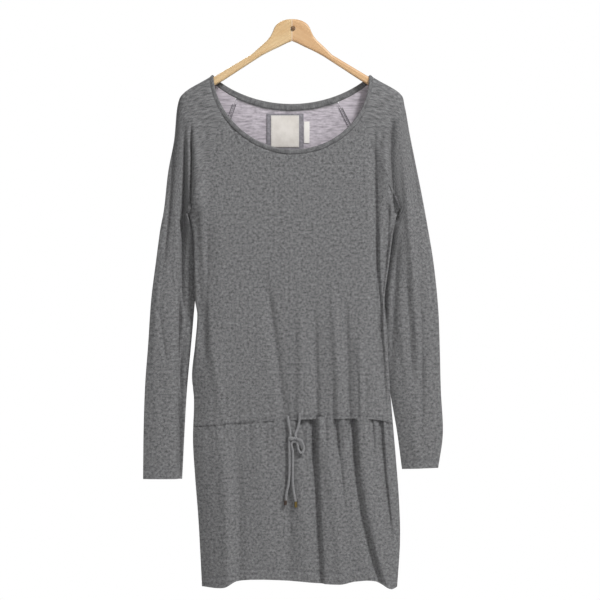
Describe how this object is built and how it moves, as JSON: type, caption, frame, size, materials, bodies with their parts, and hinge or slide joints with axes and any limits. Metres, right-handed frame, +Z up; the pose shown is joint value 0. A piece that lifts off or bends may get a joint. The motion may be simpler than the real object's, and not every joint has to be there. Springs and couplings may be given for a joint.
{
  "type": "sweater dress on hanger",
  "caption": "Fine-knit grey sweater dress with a scoop neck, long raglan sleeves and a drawstring waist, hanging on a wooden hanger.",
  "frame": {"origin": "the peg through the hanger's head, on its axis and in the middle of the hanger's thickness, where the hanger hangs", "axes": "+X towards the viewer's right when the dress is seen from the front, +Y from the front of the dress to its back, +Z up"},
  "size_m": [0.5244, 0.0562, 0.9966],
  "materials": {
    "knit": "matt fine-gauge heather grey knit",
    "neckband_knit": "matt rolled knit, darker than the body",
    "casing_knit": "matt double knit",
    "patch_cloth": "matt grey cloth",
    "label_tape": "satin woven tape, blank",
    "care_tape": "satin woven tape, blank",
    "cord": "matt braided cotton",
    "dark_tip": "smooth dark brown",
    "brass_tip": "aged, satin",
    "light_beech": "clear satin lacquer",
    "dark_beech": "clear satin lacquer",
    "peg_wood": "stained, satin"
  },
  "bodies": {
    "root": {"bodice_front": "knit", "bodice_back": "knit", "sleeve_left": "knit", "sleeve_right": "knit", "skirt_front": "knit", "skirt_back": "knit", "neckband": "neckband_knit", "casing_front": "casing_knit", "casing_back": "casing_knit", "label_patch": "patch_cloth", "neck_label": "label_tape", "care_label": "care_tape", "drawstring_left": "cord", "drawstring_right": "cord", "drawstring_loop": "cord", "drawstring_tail_left": "cord", "drawstring_tail_right": "cord", "drawstring_knot": "cord", "tip_left": "dark_tip", "tip_right": "brass_tip", "hanger_arm_left": "light_beech", "hanger_arm_right": "dark_beech", "hanger_peg": "peg_wood"}
  },
  "joints": []
}
